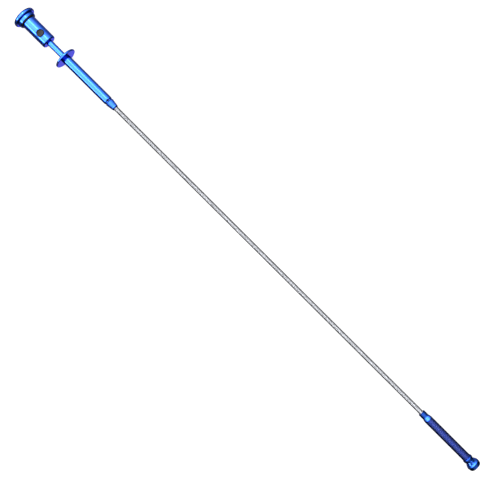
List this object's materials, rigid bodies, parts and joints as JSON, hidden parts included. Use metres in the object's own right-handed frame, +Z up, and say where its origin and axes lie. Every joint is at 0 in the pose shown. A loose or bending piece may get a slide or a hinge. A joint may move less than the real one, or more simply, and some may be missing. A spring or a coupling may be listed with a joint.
{
  "type": "flexible magnetic pickup tool",
  "caption": "Slim flexible pickup tool: thumb plunger with lamp switch, finger flange, tapered barrel, coiled steel shaft and a knurled magnetic head whose claws slide out and open.",
  "frame": {"origin": "half way along the tool, on the surface it lies on, under its axis", "axes": "+X along the tool from the thumb cap to the magnetic nose, +Z up through the switch button"},
  "size_m": [0.61, 0.023, 0.023],
  "materials": {
    "blue_anodised": "bright blue anodised, polished",
    "blue_knurled": "dark blue anodised over a diamond knurl",
    "black_rubber": "moulded black rubber",
    "spring_steel": "drawn spring wire, bright",
    "cable_steel": "stranded steel",
    "nickel_plate": "nickel plated",
    "brass": "turned",
    "black_oxide_steel": "black oxide",
    "natural_nylon": "natural nylon",
    "black_plastic": "moulded",
    "board_laminate": "solder mask",
    "lead_insulation": "extruded insulation",
    "lamp_lens": "clear moulded lens"
  },
  "bodies": {
    "barrel": {"barrel_tube": "blue_anodised", "finger_flange": "blue_anodised", "gland_bush": "natural_nylon", "return_spring": "spring_steel", "shaft_ferrule": "brass", "grub_screw": "black_oxide_steel", "flex_shaft_1": "spring_steel", "push_cable_1": "cable_steel"},
    "plunger": {"battery_body": "blue_anodised", "button_cells": "nickel_plate", "cell_liner": "natural_nylon", "contact_plate": "nickel_plate", "switch_holder": "black_plastic", "switch_board": "board_laminate", "tact_switch": "black_plastic", "plunger_stem": "blue_anodised", "stop_collar": "brass", "push_cable_handle": "cable_steel", "handle_leads": "lead_insulation"},
    "cap_seal": {"cap_seal": "black_rubber"},
    "cap": {"thumb_cap": "blue_anodised", "contact_spring": "spring_steel"},
    "button": {"switch_button": "black_rubber"},
    "shaft_2": {"flex_shaft_2": "spring_steel", "push_cable_2": "cable_steel"},
    "shaft_3": {"flex_shaft_3": "spring_steel", "push_cable_3": "cable_steel"},
    "shaft_4": {"flex_shaft_4": "spring_steel", "push_cable_4": "cable_steel"},
    "shaft_5": {"flex_shaft_5": "spring_steel", "push_cable_5": "cable_steel"},
    "shaft_6": {"flex_shaft_6": "spring_steel", "push_cable_6": "cable_steel"},
    "shaft_7": {"flex_shaft_7": "spring_steel", "push_cable_7": "cable_steel"},
    "shaft_8": {"flex_shaft_8": "spring_steel", "push_cable_8": "cable_steel"},
    "head": {"flex_shaft_9": "spring_steel", "push_cable_9": "cable_steel", "head_collar": "blue_anodised", "head_sleeve": "blue_knurled", "head_nose": "blue_anodised", "ring_magnet": "nickel_plate"},
    "claw_carriage": {"claw_carrier": "brass", "lamp": "lamp_lens", "lamp_leads": "lead_insulation", "push_cable_head": "cable_steel"},
    "claw_1": {"claw_1": "spring_steel"},
    "claw_2": {"claw_2": "spring_steel"},
    "claw_3": {"claw_3": "spring_steel"},
    "claw_4": {"claw_4": "spring_steel"}
  },
  "joints": [
    {"name": "plunger_slide", "type": "slide", "parent": "barrel", "child": "plunger", "axis": [1, 0, 0], "range_m": [0, 0.016], "stiffness_N_per_m": 250, "springref_m": -0.012, "deforming": ["return_spring"]},
    {"name": "cap_advance", "type": "slide", "parent": "plunger", "child": "cap_seal", "axis": [-1, 0, 0], "range_m": [0, 0.00401]},
    {"name": "cap_turn", "type": "hinge", "parent": "cap_seal", "child": "cap", "pos_m": [-0.3, 0, 0.0115], "axis": [-1, 0, 0], "range_deg": [0, 1440]},
    {"name": "button_press", "type": "slide", "parent": "plunger", "child": "button", "axis": [0, 0, -1], "range_m": [0, 0.0006], "stiffness_N_per_m": 400, "springref_m": -0.001},
    {"name": "flex_1", "type": "hinge", "parent": "barrel", "child": "shaft_2", "pos_m": [-0.1497, 0, 0.0115], "axis": [0, 0, 1], "range_deg": [-22.5, 22.5], "stiffness_Nm_per_rad": 0.4},
    {"name": "flex_2", "type": "hinge", "parent": "shaft_2", "child": "shaft_3", "pos_m": [-0.09661, 0, 0.0115], "axis": [0, 0, 1], "range_deg": [-22.5, 22.5], "stiffness_Nm_per_rad": 0.4},
    {"name": "flex_3", "type": "hinge", "parent": "shaft_3", "child": "shaft_4", "pos_m": [-0.04353, 0, 0.0115], "axis": [0, 0, 1], "range_deg": [-22.5, 22.5], "stiffness_Nm_per_rad": 0.4},
    {"name": "flex_4", "type": "hinge", "parent": "shaft_4", "child": "shaft_5", "pos_m": [0.00956, 0, 0.0115], "axis": [0, 0, 1], "range_deg": [-22.5, 22.5], "stiffness_Nm_per_rad": 0.4},
    {"name": "flex_5", "type": "hinge", "parent": "shaft_5", "child": "shaft_6", "pos_m": [0.06264, 0, 0.0115], "axis": [0, 0, 1], "range_deg": [-22.5, 22.5], "stiffness_Nm_per_rad": 0.4},
    {"name": "flex_6", "type": "hinge", "parent": "shaft_6", "child": "shaft_7", "pos_m": [0.11573, 0, 0.0115], "axis": [0, 0, 1], "range_deg": [-22.5, 22.5], "stiffness_Nm_per_rad": 0.4},
    {"name": "flex_7", "type": "hinge", "parent": "shaft_7", "child": "shaft_8", "pos_m": [0.16881, 0, 0.0115], "axis": [0, 0, 1], "range_deg": [-22.5, 22.5], "stiffness_Nm_per_rad": 0.4},
    {"name": "flex_8", "type": "hinge", "parent": "shaft_8", "child": "head", "pos_m": [0.2219, 0, 0.0115], "axis": [0, 0, 1], "range_deg": [-22.5, 22.5], "stiffness_Nm_per_rad": 0.4},
    {"name": "claw_slide", "type": "slide", "parent": "head", "child": "claw_carriage", "axis": [1, 0, 0], "range_m": [0, 0.01601]},
    {"name": "claw_open_1", "type": "hinge", "parent": "claw_carriage", "child": "claw_1", "pos_m": [0.2875, 0.00141, 0.01291], "axis": [0, -0.7071, 0.7071], "range_deg": [0, 21.01]},
    {"name": "claw_open_2", "type": "hinge", "parent": "claw_carriage", "child": "claw_2", "pos_m": [0.2875, -0.00141, 0.01291], "axis": [0, -0.7071, -0.7071], "range_deg": [0, 21.01]},
    {"name": "claw_open_3", "type": "hinge", "parent": "claw_carriage", "child": "claw_3", "pos_m": [0.2875, -0.00141, 0.01009], "axis": [0, 0.7071, -0.7071], "range_deg": [0, 21.01]},
    {"name": "claw_open_4", "type": "hinge", "parent": "claw_carriage", "child": "claw_4", "pos_m": [0.2875, 0.00141, 0.01009], "axis": [0, 0.7071, 0.7071], "range_deg": [0, 21.01]}
  ],
  "couplings": [
    {"joint": "cap_advance", "follows": "cap_turn", "m_per_rad": 0.00015915},
    {"joint": "flex_2", "follows": "flex_1", "ratio": 1},
    {"joint": "flex_3", "follows": "flex_1", "ratio": 1},
    {"joint": "flex_4", "follows": "flex_1", "ratio": 1},
    {"joint": "flex_5", "follows": "flex_1", "ratio": 1},
    {"joint": "flex_6", "follows": "flex_1", "ratio": 1},
    {"joint": "flex_7", "follows": "flex_1", "ratio": 1},
    {"joint": "flex_8", "follows": "flex_1", "ratio": 1},
    {"joint": "claw_slide", "follows": "plunger_slide", "ratio": 1},
    {"joint": "claw_open_1", "follows": "plunger_slide", "rad_per_m": 22.907},
    {"joint": "claw_open_2", "follows": "plunger_slide", "rad_per_m": 22.907},
    {"joint": "claw_open_3", "follows": "plunger_slide", "rad_per_m": 22.907},
    {"joint": "claw_open_4", "follows": "plunger_slide", "rad_per_m": 22.907}
  ]
}
